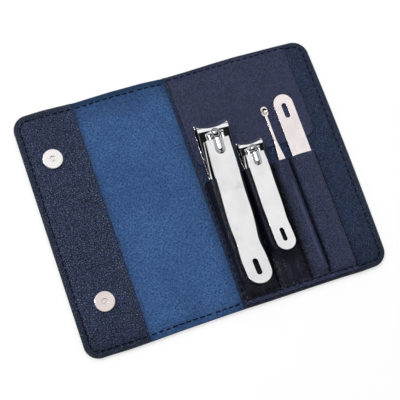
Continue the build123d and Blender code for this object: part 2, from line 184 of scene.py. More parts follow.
# how far the top and the bottom edge stand out, at these places along the case
TOP_BOW = ([-75, -60, -52, -44, -36, -26, -10, -3, 0, 4, 14, 27, 38, 50, 60, 75],
           [0.2, 0.7, 0.5, 0.05, 0.35, 0.6, 0.55, 0.15, 0.0, 0.05, 0.25, 0.7, 0.9, 0.65, 0.5, 0.0])
LOW_BOW = ([-75, -66, -55, -44, -30, -8, 0, 12, 40, 52, 60, 68, 75],
           [0.0, -0.1, 0.25, 0.1, -0.2, -0.35, -0.35, -0.15, 0.0, 0.15, 0.45, 0.25, 0.0])
SIDE_BOW = 0.85                      # and the right edge at its middle
BOW_FROM = 25                        # the middle of the case stays where it is


def bow(x, y):
    """The hand-made outline: the edges wander by under a millimetre."""
    up = np.interp(x, *TOP_BOW) * smooth(y, BOW_FROM, HALF_H)
    down = np.interp(x, *LOW_BOW) * smooth(-y, BOW_FROM, HALF_H)
    side = SIDE_BOW * (1 - np.clip(y / HALF_H, -1, 1) ** 2) * smooth(x, 64, HALF_W)
    return x + side, y + up - down


def border(x, y):
    """Distance from the case's outline, before the corners are bent."""
    return np.minimum(HALF_W - np.abs(x), HALF_H - np.abs(y))


def round_off(d, radius):
    """How far a rounded edge has dropped at distance d from it."""
    d = np.clip(d, 0, radius)
    return radius - np.sqrt(np.maximum(radius**2 - (radius - d) ** 2, 0))


# ---------------------------------------------------------------- mesh helpers
def add_object(name, data):
    made = bpy.data.objects.new(name, data)
    bpy.context.scene.collection.objects.link(made)
    return made


def mesh_object(name, points, faces, values=None, walls=0):
    """points in millimetres. The rest position is kept for the materials. The last faces,
    as many as walls says, stay flat, so that two sheets meet without a shaded line."""
    data = bpy.data.meshes.new(name)
    data.from_pydata((np.asarray(points) * MM).tolist(), [], faces)
    data.validate()
    rest = data.attributes.new("rest", "FLOAT_VECTOR", "POINT")
    rest.data.foreach_set("vector", np.asarray(points, np.float32).ravel())
    for key, value in (values or {}).items():
        kept = data.attributes.new(key, "FLOAT", "POINT")
        kept.data.foreach_set("value", np.asarray(value, np.float32).ravel())
    flat_from = len(data.polygons) - walls
    data.polygons.foreach_set("use_smooth", [k < flat_from for k in range(len(data.polygons))])
    data.update()
    return add_object(name, data)


def grid_faces(rows, columns, start=0, flip=False):
    i, j = np.meshgrid(np.arange(rows - 1), np.arange(columns - 1), indexing="ij")
    a = start + i * columns + j
    quads = np.stack([a, a + columns, a + columns + 1, a + 1], -1).reshape(-1, 4)
    return quads[:, ::-1] if flip else quads


def sheet_faces(rows, columns):
    """Faces of a closed sheet: its top, its underside, and last the walls between them,
    with how many walls there are."""
    count = rows * columns
    index = np.arange(count).reshape(rows, columns)
    ring = np.concatenate([index[:, 0], index[-1, 1:], index[-2::-1, -1], index[0, -2:0:-1]])
    following = np.roll(ring, -1)
    wall = np.stack([ring, ring + count, following + count, following], -1)
    faces = [grid_faces(rows, columns), grid_faces(rows, columns, count, True), wall]
    return np.concatenate(faces).tolist(), len(wall)


def on_both_sides(values):
    return {key: np.concatenate([v.ravel(), v.ravel()]) for key, v in values.items()}


def slab(name, xs, ys, top, under, plan=None, values=None):
    """Closed sheet over a grid: top and under give the height at each grid point."""
    x, y = np.meshgrid(xs, ys, indexing="ij")
    upper, lower = top(x, y), under(x, y)
    extra = {key: value(x, y) for key, value in (values or {}).items()}
    px, py = (plan or (lambda a, b: bow(*corner_map(a, b))))(x, y)
    points = np.concatenate([
        np.stack([px, py, upper], -1).reshape(-1, 3),
        np.stack([px, py, lower], -1).reshape(-1, 3),
    ])
    faces, walls = sheet_faces(*x.shape)
    return mesh_object(name, points, faces, on_both_sides(extra), walls)


def stitch(centre, along, up, length, radius):
    """Points and faces of one stitch: a short thread with rounded, dipping ends."""
    along = np.array(along, float) / np.linalg.norm(along)
    up = np.array(up, float) / np.linalg.norm(up)
    side = np.cross(up, along)
    half = length / 2 - radius
    turns = [math.pi / 2 * (k + 1) / THREAD_RINGS for k in range(THREAD_RINGS)]
    stations = [(-half - radius * math.cos(t), math.sin(t)) for t in turns]
    stations += [(-half / 2, 1.0), (0, 1.0), (half / 2, 1.0)]
    stations += [(half + radius * math.cos(t), math.sin(t)) for t in reversed(turns)]
    points, faces = [], []
    reach = length / 2
    segments = THREAD_SIDES
    for s, share in stations:
        dip = THREAD_DIP * (s / reach) ** 4
        twist = 1 + 0.06 * math.sin(s * 9)
        for m in range(segments):
            a = math.tau * m / segments
            points.append(
                np.array(centre) + along * s + side * math.cos(a) * radius * share * twist
                + up * (math.sin(a) * radius * share * THREAD_FLAT - dip)
            )
    start, end = len(points), len(points) + 1
    points.append(np.array(centre) - along * reach - up * THREAD_DIP)
    points.append(np.array(centre) + along * reach - up * THREAD_DIP)
    for r in range(len(stations) - 1):
        for m in range(segments):
            n = (m + 1) % segments
            faces.append([r * segments + m, r * segments + n,
                          (r + 1) * segments + n, (r + 1) * segments + m])
    last = (len(stations) - 1) * segments
    for m in range(segments):
        n = (m + 1) % segments
        faces.append([start, n, m])
        faces.append([end, last + m, last + n])
    return points, faces


def stitch_row(points, faces, line, heights, jitter, radius):
    """Adds stitches along a polyline; heights gives the surface under each of them."""
    line = np.asarray(line, float)
    steps = np.linalg.norm(np.diff(line, axis=0), axis=1)
    run = np.concatenate([[0], np.cumsum(steps)])
    count = max(1, int(round(run[-1] / STITCH_PITCH)))
    look_ahead, grip = 0.8, 0.9

    def along_line(distance):
        return np.array([np.interp(distance, run, line[:, c]) for c in (0, 1)])

    for k in range(count):
        middle = (k + 0.5) * run[-1] / count
        here = along_line(middle)
        tangent = along_line(middle + look_ahead) - along_line(middle - look_ahead)
        swing = jitter.normal(0, SEWN_SWING)
        tangent = np.array([
            tangent[0] * math.cos(swing) - tangent[1] * math.sin(swing),
            tangent[0] * math.sin(swing) + tangent[1] * math.cos(swing),
        ])
        fit = tangent / np.linalg.norm(tangent)
        ends = [heights(*(here + fit * s)) for s in (-grip, grip)]
        rise = float(ends[1] - ends[0]) / (2 * grip)
        base = float(heights(*here))
        direction = np.array([fit[0], fit[1], rise])
        up = np.array([-rise * fit[0], -rise * fit[1], 1.0])
        here = here + np.array([-fit[1], fit[0]]) * jitter.normal(0, SEWN_WANDER)
        length = STITCH_LENGTH * run[-1] / count / STITCH_PITCH
        length = length * jitter.uniform(1 - SEWN_UNEVEN, 1 + SEWN_UNEVEN)
        centre = [here[0], here[1], base + THREAD_MIDDLE]
        got, quads = stitch(centre, direction, up, length, radius)
        shift = len(points)
        points += got
        faces += [[n + shift for n in quad] for quad in quads]


# ---------------------------------------------------------------- material helpers
def linear(r, g, b):
    """Linear colour of an 8-bit display colour."""
    out = []
    for c in (r, g, b):
        c /= 255
        out.append(c / 12.92 if c <= 0.04045 else ((c + 0.055) / 1.055) ** 2.4)
    return (*out, 1.0)


def scaled(colour, share):
    """A darker or lighter tone of a colour."""
    return tuple(min(1, c * share) for c in colour[:3]) + (1.0,)


class Nodes:
    """The emptied node tree of a material or world, built one call at a time."""

    def __init__(self, owner, output="OutputMaterial"):
        owner.use_nodes = True
        self.tree = owner.node_tree
        self.tree.nodes.clear()
        self.surface = self.tree.nodes.new("ShaderNode" + output).inputs["Surface"]

    def add(self, kind, out=0, settings=None, **inputs):
        """Gives the node's output. Inputs go by name, or by number as i0, i1."""
        node = self.tree.nodes.new("ShaderNode" + kind)
        for key, value in (settings or {}).items():
            setattr(node, key, value)
        for key, value in inputs.items():
            numbered = key[0] == "i" and key[1:].isdigit()
            self.put(node.inputs[int(key[1:]) if numbered else key.replace("_", " ")], value)
        return node.outputs[out]

    def put(self, socket, value):
        if isinstance(value, bpy.types.NodeSocket):
            self.tree.links.new(value, socket)
        else:
            socket.default_value = value

    def math(self, operation, a, b):
        return self.add("Math", 0, {"operation": operation}, i0=a, i1=b)

    def two_faced(self, lighting, seen):
        """Diffuse light meets one shader; the camera, metal and glass see the other."""
        found = self.add("LightPath", "Is Camera Ray")
        for kind in ("Is Glossy Ray", "Is Transmission Ray"):
            found = self.math("MAXIMUM", found, self.add("LightPath", kind))
        self.put(self.surface, self.add("MixShader", i0=found, i1=lighting, i2=seen))


class Look(Nodes):
    """A material of the object, with one principled shader."""

    def __init__(self, name):
        self.material = bpy.data.materials.new(name)
        super().__init__(self.material)
        self.shader = self.tree.nodes.new("ShaderNodeBsdfPrincipled")
        self.put(self.surface, self.shader.outputs["BSDF"])

    def set(self, **inputs):
        for key, value in inputs.items():
            self.put(self.shader.inputs[key.replace("_", " ")], value)

    def rest(self):
        """Rest position in millimetres, so that grain stays put when a piece bends."""
        return self.add("Attribute", "Vector", {"attribute_name": "rest"})

    def own(self):
        """A CAD node's own coordinates in millimetres."""
        place = self.add("TexCoord", "Object")
        return self.add("Mapping", Vector=place, Scale=(1 / MM,) * 3)

    def value(self, name):
        """A number that the mesh keeps at each of its points."""
        return self.add("Attribute", "Fac", {"attribute_name": name})

    def noise(self, place, scale, detail, **more):
        return self.add("TexNoise", Vector=place, Scale=scale, Detail=detail, **more)

    def spread(self, value, from_low, from_high, to_low=0.0, to_high=1.0):
        """Stretches a range of values to another."""
        return self.add("MapRange", 0, {"clamp": True}, Value=value, From_Min=from_low,
                        From_Max=from_high, To_Min=to_low, To_Max=to_high)

    def mix(self, factor, a, b, blend="MIX"):
        """Mixes two colours, which a mix node takes at its inputs 6 and 7."""
        kind = {"data_type": "RGBA", "blend_type": blend}
        return self.add("Mix", 2, kind, i0=factor, i6=a, i7=b)

    def bump(self, height, distance, strength=1.0, normal=None):
        inputs = {} if normal is None else {"Normal": normal}
        return self.add("Bump", Height=height, Distance=distance, Strength=strength, **inputs)


def leather(name, base, dark, cell=1.05, grain=0.00034, rough=(0.28, 0.42), level=0.38,
            glossy=False, rim=None):
    """Pebbled leather. cell is a pebble's size in millimetres, grain its height in metres."""
    look = Look(name)
    place = look.rest()
    wobble = look.noise(place, 0.9, 2.0, out="Color")
    bent = look.mix(0.12, place, wobble, "LINEAR_LIGHT")
    pebbles = look.add("TexVoronoi", 0, {"feature": "SMOOTH_F1"}, Vector=bent,
                       Scale=1 / cell, Smoothness=0.25)
    seams = look.add("TexVoronoi", 0, {"feature": "DISTANCE_TO_EDGE"}, Vector=bent,
                     Scale=1 / cell)
    fine = look.noise(place, 1.7, 4.0)
    broad = look.noise(place, 0.07, 3.0)
    crease = look.spread(seams, 0.02, 0.16, 1.0, 0.0)
    height = look.math("SUBTRACT", look.spread(seams, 0.0, 0.22),
                       look.math("MULTIPLY", pebbles, 0.6))
    height = look.math("ADD", height, look.math("MULTIPLY", fine, 0.35))
    tone = look.mix(look.spread(broad, 0.35, 0.65), base, scaled(base, 0.82))
    tone = look.mix(look.math("MULTIPLY", crease, 0.8), tone, dark)
    # lighter specks: partly the grain's own tone, partly painted glints on the pebbles
    tone = look.mix(look.spread(fine, 0.45, 0.66, 0.0, 0.8), tone, scaled(base, 2.3))
    shine = look.spread(fine, 0.3, 0.7, *rough)
    if rim:
        tone = look.mix(look.value("rim"), tone, rim)
        tone = look.mix(look.value("shade"), tone, dark)
    if glossy:
        polish_and_painted_shade = look.value("polish_and_painted_shade")
        shine = look.mix(polish_and_painted_shade, shine, (0.24, 0.24, 0.24, 1.0))
        # painted shade: the polished leather round the clippers and beside the pick is darkened
        tone = look.mix(look.math("MULTIPLY", polish_and_painted_shade, 0.88), tone, dark)
        # painted shade in the hollows: the seams and the feet of the channels are darkened
        tone = look.mix(look.math("MULTIPLY", look.value("deep"), 0.85), tone, dark)
        # painted highlight: a lighter line along the fold beside the pick
        tone = look.mix(look.value("painted_ridge_highlight"), tone, scaled(base, 2.6))
        calm = look.math("SUBTRACT", 1.0, look.math("MULTIPLY", polish_and_painted_shade, 0.75))
        height = look.math("MULTIPLY", height, calm)
    look.set(Base_Color=tone, Roughness=shine, Specular_IOR_Level=level,
             Normal=look.bump(height, grain))
    return look.material


def suede(name, light, mid, dark, rim):
    """Brushed suede: short fibres, darker and lighter tufts, and painted shade at its rim, beside
    the facings and towards its ends.
    """
    look = Look(name)
    place = look.rest()
    swirl = look.noise(place, 0.05, 4.0, Distortion=0.6)
    fibre = look.noise(place, 1.15, 4.0, Roughness=0.7)
    tuft = look.noise(place, 0.55, 3.0, Roughness=0.6)
    speck = look.add("TexVoronoi", 0, {"feature": "F1"}, Vector=place, Scale=1.35)
    tone = look.mix(look.spread(fibre, 0.36, 0.64), dark, light)
    tone = look.mix(0.25, tone, mid)
    tone = look.mix(look.spread(swirl, 0.3, 0.7, 0.0, 0.35), tone, dark)
    tone = look.mix(look.spread(tuft, 0.55, 0.75, 0.0, 0.4), tone, light)
    tone = look.mix(look.spread(speck, 0.0, 0.22, 0.35, 0.0), tone, scaled(light, 1.5))
    # painted shade: the rim colour darkens the band at the rim, the suede beside the facings and
    # its ends
    tone = look.mix(look.value("rim"), tone, rim)
    height = look.math("ADD", fibre, look.math("MULTIPLY", tuft, 0.8))
    look.set(Base_Color=tone, Roughness=look.spread(fibre, 0.3, 0.7, 0.85, 1.0),
             Specular_IOR_Level=0.15, Normal=look.bump(height, 0.00016, 0.8),
             Sheen_Weight=0.12, Sheen_Roughness=0.5)
    return look.material


EDGE_WEAR = 0.00015                  # metres: how wide a metal edge looks rounded


def metal(name, colour, rough, scratch, along=(1, 1, 1)):
    """Metal with fine lines. scratch is their depth in metres, along how they are drawn out."""
    look = Look(name)
    place = look.own()
    lines = look.add("Mapping", Vector=place, Scale=along)
    hair = look.noise(lines, 2.4, 4.0, Roughness=0.7)
    cloud = look.noise(place, 0.12, 2.0)
    shade = look.mix(look.spread(cloud, 0.35, 0.65), colour, scaled(colour, 0.93))
    finish = look.math("ADD", look.spread(hair, 0.3, 0.7, rough * 0.75, rough * 1.25),
                       look.spread(cloud, 0.4, 0.6, 0.0, rough * 0.3))
    edges = look.add("Bevel", 0, {"samples": 6}, Radius=EDGE_WEAR)
    look.set(Base_Color=shade, Roughness=finish, Metallic=1.0,
             Normal=look.bump(hair, scratch, 0.6, edges))
    return look.material


def plain(name, base, other, scale, rough, distance):
    """Board and felt, which lie inside the case."""
    look = Look(name)
    place = look.own()
    cloud = look.noise(place, scale, 4.0)
    look.set(Base_Color=look.mix(look.spread(cloud, 0.35, 0.65), base, other),
             Roughness=look.spread(cloud, 0.3, 0.7, rough * 0.85, rough),
             Normal=look.bump(cloud, distance))
    return look.material


def thread(name, base, light):
    """Twisted thread."""
    look = Look(name)
    place = look.rest()
    wind = look.add("TexWave", 0, {"wave_type": "BANDS", "bands_direction": "DIAGONAL"},
                    Vector=place, Scale=1.6, Distortion=1.0)
    look.set(Base_Color=look.mix(look.spread(wind, 0.2, 0.9), base, light),
             Roughness=look.spread(wind, 0.0, 1.0, 0.5, 0.75),
             Specular_IOR_Level=0.12, Normal=look.bump(wind, 0.00004))
    return look.material


NAVY = leather("navy_leather_look", linear(45, 56, 84), linear(9, 13, 24),
               rim=linear(36, 48, 68))
BASE_NAVY = leather("base_leather_look", linear(37, 51, 79), linear(9, 14, 26),
                    rim=linear(36, 48, 68))
OUTER_NAVY = leather("outer_leather_look", linear(36, 45, 66), linear(12, 15, 26))
# its dark colour also serves as painted shade round the clippers and in the hollows
POCKET_NAVY = leather("pocket_leather_look", linear(53, 58, 86), linear(7, 10, 18),
                      cell=0.8, grain=0.00022, level=0.24, glossy=True)
GUARD_NAVY = leather("flap_leather_look", linear(37, 43, 72), linear(15, 18, 34), cell=0.8,
                     grain=0.00009, rough=(0.36, 0.48), level=0.32)
# the suede's last colour is its painted shade at the rim, beside the facings and at the ends
SUEDE = suede("blue_suede_look", linear(84, 124, 178), linear(46, 78, 127),
              linear(20, 44, 88), linear(24, 44, 70))
CHROME = metal("chrome_look", (0.86, 0.87, 0.88, 1.0), 0.04, 0.0, (1, 0.15, 1))
# painted shade: the pins' chrome is made darker than the rest, so that the knobs show dark rings
SHADED_PIN_CHROME = metal("pin_chrome_look", (0.5, 0.51, 0.52, 1.0), 0.05, 0.0)
LEVER_CHROME = metal("lever_chrome_look", (0.83, 0.83, 0.84, 1.0), 0.11, 0.000001,
                     (1, 0.12, 1))
SATIN = metal("satin_steel_look", (0.91, 0.84, 0.84, 1.0), 0.18, 0.000004, (1, 0.1, 1))
PICK_STEEL = metal("pick_steel_look", (0.86, 0.79, 0.79, 1.0), 0.09, 0.000002, (1, 0.1, 1))
PLATE = metal("snap_plate_look", (0.82, 0.80, 0.79, 1.0), 0.3, 0.00001)
PLATE_PINK = metal("snap_plate_pink_look", (0.77, 0.69, 0.68, 1.0), 0.2, 0.00001)
MAGNET = metal("magnet_look", (0.35, 0.35, 0.37, 1.0), 0.35, 0.00001)
WASHER = metal("washer_look", (0.5, 0.5, 0.5, 1.0), 0.4, 0.00001)
BOARD = plain("board_look", linear(150, 140, 125), linear(125, 115, 100), 0.6, 0.9, 0.0001)
FELT = plain("interlining_look", linear(60, 62, 66), linear(40, 42, 46), 1.2, 0.95, 0.0002)
THREAD = thread("thread_look", linear(4, 5, 9), linear(13, 15, 24))


def dress(piece, material, *bodies, slot=None, replaces=(), fold=None):
    """Gives a piece its material and the body that it moves with. A piece on two bodies is left
    where it stands; fold, the fold's middle and half its width, is not used."""
    piece.data.materials.clear()
    piece.data.materials.append(material)
    if len(bodies) == 2:
        middle, half = fold
        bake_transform(piece)
    else:
        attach(piece, bodies[0])
    if replaces:
        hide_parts(*replaces)
    return piece


# ---------------------------------------------------------------- the case's own surfaces
THREAD_PULL, RIM_DROP, RIM_PUFF = 0.2, 0.3, 0.12
RIM_ROUND, INNER_ROUND, SUEDE_ROUND = 0.55, 0.4, 0.45    # rounded edges of facings and suede
STRIP_LIFT, BASE_LIFT = 0.32, 0.36       # the facings' inner edges lie on the suede
RIM_SEAT, BOARD_SEAT = 1.3, 1.8          # what the facings lie on
SKIN_EDGE, SKIN_STEP = 1.27, 0.47        # the outer leather: turned up at the rim, thin inside


def groove(d):
    """Relief across the border: the thread draws the leather down, the rim puffs up."""
    pull = -THREAD_PULL * bell(d, STITCH_INSET, 0.75)
    rim = -RIM_DROP * (1 - smooth(d, 2.2, 5.0)) + RIM_PUFF * bell(d, 1.5, 0.8)
    return pull + rim


def facing_top(x, y):
    return TOP + groove(border(x, y)) + 0.05 * ripple(x, y, 26, 3)


def suede_top(x, y):
    d = HALF_H - np.abs(y)
    z = TOP + groove(d) + 0.06 * ripple(x, y, 22, 5)
    z -= 0.05 * bell(x, FOLD_B, 5.0) * smooth(d, 2, 5)
    return z


def suede_painted_shade(x, y):
    """Painted shade on the suede: a darker band outside the stitches, shade beside each facing,
    and shade towards the top and bottom ends.
    """
    d = HALF_H - np.abs(y)
    outside = np.where(y > 0, 0.38, 0.25) * (1 - smooth(d, 1.9, 2.9))
    beside = 0.3 * bell(x, FOLD_A, 2.4) + 0.3 * bell(x, FOLD_C, 1.6)
    ends = 0.42 * smooth(y, 43, 57) + 0.12 * smooth(-y, 50, 57)
    return np.clip(outside + beside + ends, 0, 0.9)


def suede_height(x, y):
    return suede_top(x, y) - round_off(HALF_H - np.abs(y), SUEDE_ROUND)


def facing_height(x, y, inner, lift):
    """A facing's top; inner is the distance from its inner edge."""
    flat = facing_top(x, y) + lift
    return flat - round_off(border(x, y), RIM_ROUND) - round_off(inner, INNER_ROUND)


def strip_lift(x):
    return STRIP_LIFT * (1 - smooth(STRIP_EDGE - x, 1.5, 4.5))


def strip_height(x, y):
    return facing_height(x, y, STRIP_EDGE - x, strip_lift(x))


def base_height(x, y):
    inner = x - BASE_EDGE
    return facing_height(x, y, inner, BASE_LIFT * (1 - smooth(inner, 0.9, 2.0)))


def base_under(x, y):
    """The facing is thinner at its inner edge, which lies on the suede."""
    return seat_height(x, y) + 0.3 * (1 - smooth(x, BASE_EDGE, 1.4))


def seat_height(x, y):
    """Underside of the facings: on the board inside, on the outer leather at the edge."""
    d = border(x, y)
    return RIM_SEAT + (BOARD_SEAT - RIM_SEAT) * smooth(d, 1.6, 3.4) + round_off(d, 0.15)


def skin_top(x, y):
    d = border(x, y)
    return SKIN_EDGE - SKIN_STEP * smooth(d, 1.0, 2.2) - round_off(d, 0.2)


def skin_under(x, y):
    d = border(x, y)
    return round_off(d, 0.8) + 0.03 * (1 + ripple(x, y, 30, 9)) * smooth(d, 1, 5)


def rim_value(x, y):
    return 0.85 * (1 - smooth(border(x, y), 1.6, 2.9))


def low_shade(x, y):
    """The leather is a little darker towards the bottom edge and under the pocket."""
    beside_pocket = smooth(x, 0, 2) * (1 - smooth(x, 58, 62))
    under_pocket = 0.55 * beside_pocket * (1 - smooth(y, -HALF_H, -55))
    return np.maximum(0.34 * (1 - smooth(y, -HALF_H, -34)), under_pocket)


FACING_YS = ticks(-HALF_H, HALF_H, 1.25, RIM, RIM)
FACING_VALUES = {"rim": rim_value, "shade": low_shade}
base_facing = slab(
    "base_facing", ticks(BASE_EDGE, HALF_W, 1.25, HEM, RIM), FACING_YS,
    base_height, base_under, values=FACING_VALUES,
)
dress(base_facing, BASE_NAVY, "tool_side", slot="navy_leather", replaces=["tool_side_lining"])

strip_facing = slab(
    "strip_facing", ticks(-HALF_W, STRIP_EDGE, 1.0, RIM, HEM), FACING_YS,
    strip_height, seat_height, values=FACING_VALUES,
)
dress(strip_facing, NAVY, "snap_flap", slot="navy_leather", replaces=["snap_flap_facing"])


def fold_lines(fold):
    """Grid lines close together where a piece bends."""
    return [fold + s for s in (-2.4, -1.8, -1.2, -0.6, 0, 0.6, 1.2, 1.8, 2.4)]


def under_facing(x, y):
    """Where the suede runs on under the strip's facing it lies lower."""
    return suede_height(x, y) - 0.45 * (1 - smooth(x, FOLD_C - 0.9, FOLD_C + 0.1))


TUCK, TUCK_DEPTH = 0.6, 0.06         # how far a piece runs on under the next, and how deep
SEWN_CLOSE = 0.05                    # keeps the tuck's slope out of the shading beside it


def tuck_in(x, edge):
    """1 where a sheet runs on past its edge, just inside the next sheet; no gap shows."""
    return smooth(edge - x, 0.0, TUCK / 2)


def tucked_plan(edge):
    """The outline of a piece whose tuck is a little narrower than the piece over it."""
    def plan(x, y):
        return bow(*corner_map(x, y * (1 - 0.001 * tuck_in(x, edge))))
    return plan


def suede_under(x, y):
    return np.minimum(seat_height(x, y), under_facing(x, y) - 0.25)


# name, right and left end, bodies, fold between them, CAD nodes that it stands for
suede_pieces = [
    ("suede_spine", SUEDE_X[1], SPINE_MIDDLE, ("tool_side", "spine"), FOLD_A,
     ["spine_lining"]),
    ("suede_cover", SPINE_MIDDLE, COVER_MIDDLE, ("spine", "cover"), FOLD_B, ["cover_lining"]),
    ("suede_strip", COVER_MIDDLE, SUEDE_X[0], ("cover", "snap_flap"), FOLD_C, []),
]
for name, right, left, bodies, fold, stands_for in suede_pieces:
    def suede_upper(x, y, edge=left):
        return under_facing(x, y) - TUCK_DEPTH * tuck_in(x, edge)

    lines = [left - TUCK / 2, left, left + SEWN_CLOSE, right - SEWN_CLOSE, *fold_lines(fold)]
    piece = slab(
        name, ticks(left - TUCK, right, 1.1, extra=lines), FACING_YS,
        suede_upper, suede_under, plan=tucked_plan(left), values={"rim": suede_painted_shade},
    )
    dress(piece, SUEDE, *bodies, slot="blue_suede", replaces=stands_for, fold=(fold, 1.6))

skin_pieces = [
    ("outer_tool_side", HALF_W, SPINE_MIDDLE, ("tool_side", "spine"), FOLD_A,
     ["tool_side_shell"]),
    ("outer_spine", SPINE_MIDDLE, COVER_MIDDLE, ("spine", "cover"), FOLD_B, ["spine_shell"]),
    ("outer_flap", COVER_MIDDLE, -HALF_W, ("cover", "snap_flap"), FOLD_C,
     ["cover_shell", "snap_flap_shell"]),
]
for name, right, left, bodies, fold, stands_for in skin_pieces:
    last = left == -HALF_W
    edge = left - TUCK if last else left

    def skin_lower(x, y, edge=edge):
        return skin_under(x, y) + TUCK_DEPTH * tuck_in(x, edge)

    lines = [left, left + SEWN_CLOSE, right - SEWN_CLOSE, *fold_lines(fold)]
    near_left, near_right = (RIM if last else ()), (RIM if right == HALF_W else ())
    piece = slab(
        name, ticks(left if last else left - TUCK, right, 1.4, near_left, near_right, lines),
        FACING_YS, skin_top, skin_lower, plan=tucked_plan(edge),
    )
    dress(piece, OUTER_NAVY, *bodies, slot="outer_leather", replaces=stands_for,
          fold=(fold, 1.8))

# ---------------------------------------------------------------- protective flap
GUARD_UNDER, GUARD_TOP = 2.66, 3.26


def guard_plan(x, y):
    """Rounds the flap's two lower corners."""
    middle = sum(GUARD_X) / 2
    straight = (GUARD_X[1] - GUARD_X[0]) / 2 - GUARD_CORNER
    centre_y = GUARD_Y[0] + GUARD_CORNER
    inside, out_x, out_y = quarter_disc(np.abs(x - middle) - straight, centre_y - y)
    new_x = middle + np.sign(x - middle) * (straight + out_x)
    return bow(np.where(inside, new_x, x), np.where(inside, centre_y - out_y, y))


def guard_edge(x, y):
    return np.minimum(np.minimum(x - GUARD_X[0], GUARD_X[1] - x), y - GUARD_Y[0])


def guard_rise(x, y):
    """Where the flap lifts off the facing: free corner and free edges, clear of the tools."""
    free = smooth(x, 56.5, GUARD_X[1]) * (1 - smooth(y, 14, 44))
    return 0.55 * free + 0.18 * smooth(x, 44, 60) * bell(y, 30, 12) * smooth(y, 12, 30)


def guard_top(x, y):
    z = GUARD_TOP + guard_rise(x, y) + 0.03 * ripple(x, y, 17, 21)
    z -= 0.3 * bell(y, GUARD_SEAM_Y, 0.7)
    return z - round_off(guard_edge(x, y), 0.3)


def guard_under(x, y):
    z = GUARD_UNDER + guard_rise(x, y) - 0.1 * bell(y, GUARD_SEAM_Y, 0.7)
    return z + round_off(guard_edge(x, y), 0.25)


guard = slab(
    "protective_flap_sheet",
    ticks(*GUARD_X, 1.1, HEM, HEM, [GUARD_X[0] + GUARD_CORNER, GUARD_X[1] - GUARD_CORNER]),
    ticks(*GUARD_Y, 1.1, (*HEM, 2.6, 3.6, 4.5), (0.2, 0.8, 1.4, 1.8, 2.2, 3.0)),
    guard_top, guard_under, plan=guard_plan,
)
dress(guard, GUARD_NAVY, "tool_side", slot="flap_leather", replaces=["protective_flap"])

# ---------------------------------------------------------------- pocket
FLOOR = 3.6                          # what the tools lie on
LEATHER = 0.62                       # thickness of the pocket's leather
SEWN = TOP + 0.1 + LEATHER / 2       # height of its middle where it is sewn down
TOOL_GAP = 0.25                      # between the leather and the tools
SEAM_HALF, BOTTOM_SEWN = 0.35, 2.2   # how wide the leather is sewn down flat
LEFT_SEWN, RIGHT_SEWN = 2.1, 58.6    # and it is flat outside these
RIDGE_X = 42.6                       # it stands up in a fold beside the pick
SPRING_PAST = 2.3                    # a clipper's height at the mouth is met this far past it
# where each seam meets the mouth and the bottom, and how high each channel's arch stands
SEAMS = [(1.9, 1.9), (20.9, 19.8), (35.9, 35.9), (45.5, 45.4), (58.9, 58.9)]
ARCHES = [0.25, 0.25, 0.35, 1.15]
NOTHING = -9.0                       # a height below everything
DRAPE_ROUNDS, SOFTEN_ROUNDS, HOLLOW_ROUNDS = 900, 22, 90


def lengthwise(dx, dy, turn):
    """Turns an offset into one along and one across a tool that leans by turn."""
    return (dx * math.sin(turn) + dy * math.cos(turn),
            dx * math.cos(turn) - dy * math.sin(turn))


def stowed_clipper(size, **shape):
    """A clipper's sizes, with its place, its lean and its spring's end from its joints."""
    pin = joint_place(size + "_pin_turn")
    spring = joint_place(size + "_jaw_squeeze")
    pull = JOINTS[size + "_clipper_slide"]["axis"]
    turn = math.radians(round(math.degrees(math.atan2(-pull[0], -pull[1])), 2))
    hinge, _ = lengthwise(spring[0] - pin[0], spring[1] - pin[1], turn)
    return dict(pin=pin, turn=turn, hinge=round(hinge, 1), **shape)


# reach past the pin to the jaws and to the tail, widths there, heights at tail and mouth
CLIPPERS = [
    stowed_clipper("large", head=7.2, tail=72.8, jaw=15.5, end=12.5, flat=3.2, mouth=4.6),
    stowed_clipper("small", head=5.5, tail=49.6, jaw=12.0, end=9.6, flat=2.4, mouth=4.8),
]
FLAT_TOOLS = [
    dict(middle=42.2, half=1.7, low=-52.2, thick=1.1),       # the ear pick
    dict(middle=52.7, half=4.9, low=-53.7, thick=1.0),       # the nail file
]


def seam_x(seam, y):
    share = (POCKET_Y[1] - y) / (POCKET_Y[1] - POCKET_Y[0])
    return seam[0] + (seam[1] - seam[0]) * share


def stowed_tools(x, y, clear):
    """Height that the leather's middle has to keep over what lies in the pocket."""
    height = np.full(x.shape, NOTHING)
    for c in CLIPPERS:
        turn = c["turn"]
        along, across = lengthwise(x - c["pin"][0], y - c["pin"][1], turn)
        share = (c["head"] - along) / (c["head"] + c["tail"])
        half = (c["jaw"] + (c["end"] - c["jaw"]) * share) / 2
        mouth_at = (POCKET_Y[1] - c["pin"][1]) / math.cos(turn)
        slope = (c["mouth"] - c["flat"]) / (mouth_at + SPRING_PAST - c["hinge"])
        top = c["flat"] + np.clip(along - c["hinge"], 0, None) * slope
        edge = np.minimum(half + clear - np.abs(across), along + c["tail"] + clear)
        tail_round = np.hypot(across, np.minimum(along + c["tail"] - half, 0)) - half
        edge = np.minimum(edge, clear - tail_round)
        height = np.maximum(height, np.where(edge > 0, FLOOR + top + clear, NOTHING))
    for tool in FLAT_TOOLS:
        inside = (np.abs(x - tool["middle"]) < tool["half"] + clear) & (y > tool["low"] - clear)
        height = np.maximum(height, np.where(inside, FLOOR + tool["thick"] + clear, NOTHING))
    return height


def around(z):
    """The sum of each grid point's four neighbours."""
    padded = np.pad(z, 1, mode="edge")
    return padded[2:, 1:-1] + padded[:-2, 1:-1] + padded[1:-1, 2:] + padded[1:-1, :-2]


def drape(obstacle, sewn):
    """Stretches the pocket's leather over the tools like a taut skin sewn down at the seams."""
    z = np.where(sewn, SEWN, obstacle)
    for _ in range(DRAPE_ROUNDS):
        z = np.where(sewn, SEWN, np.maximum(obstacle, around(z) / 4))
    return z


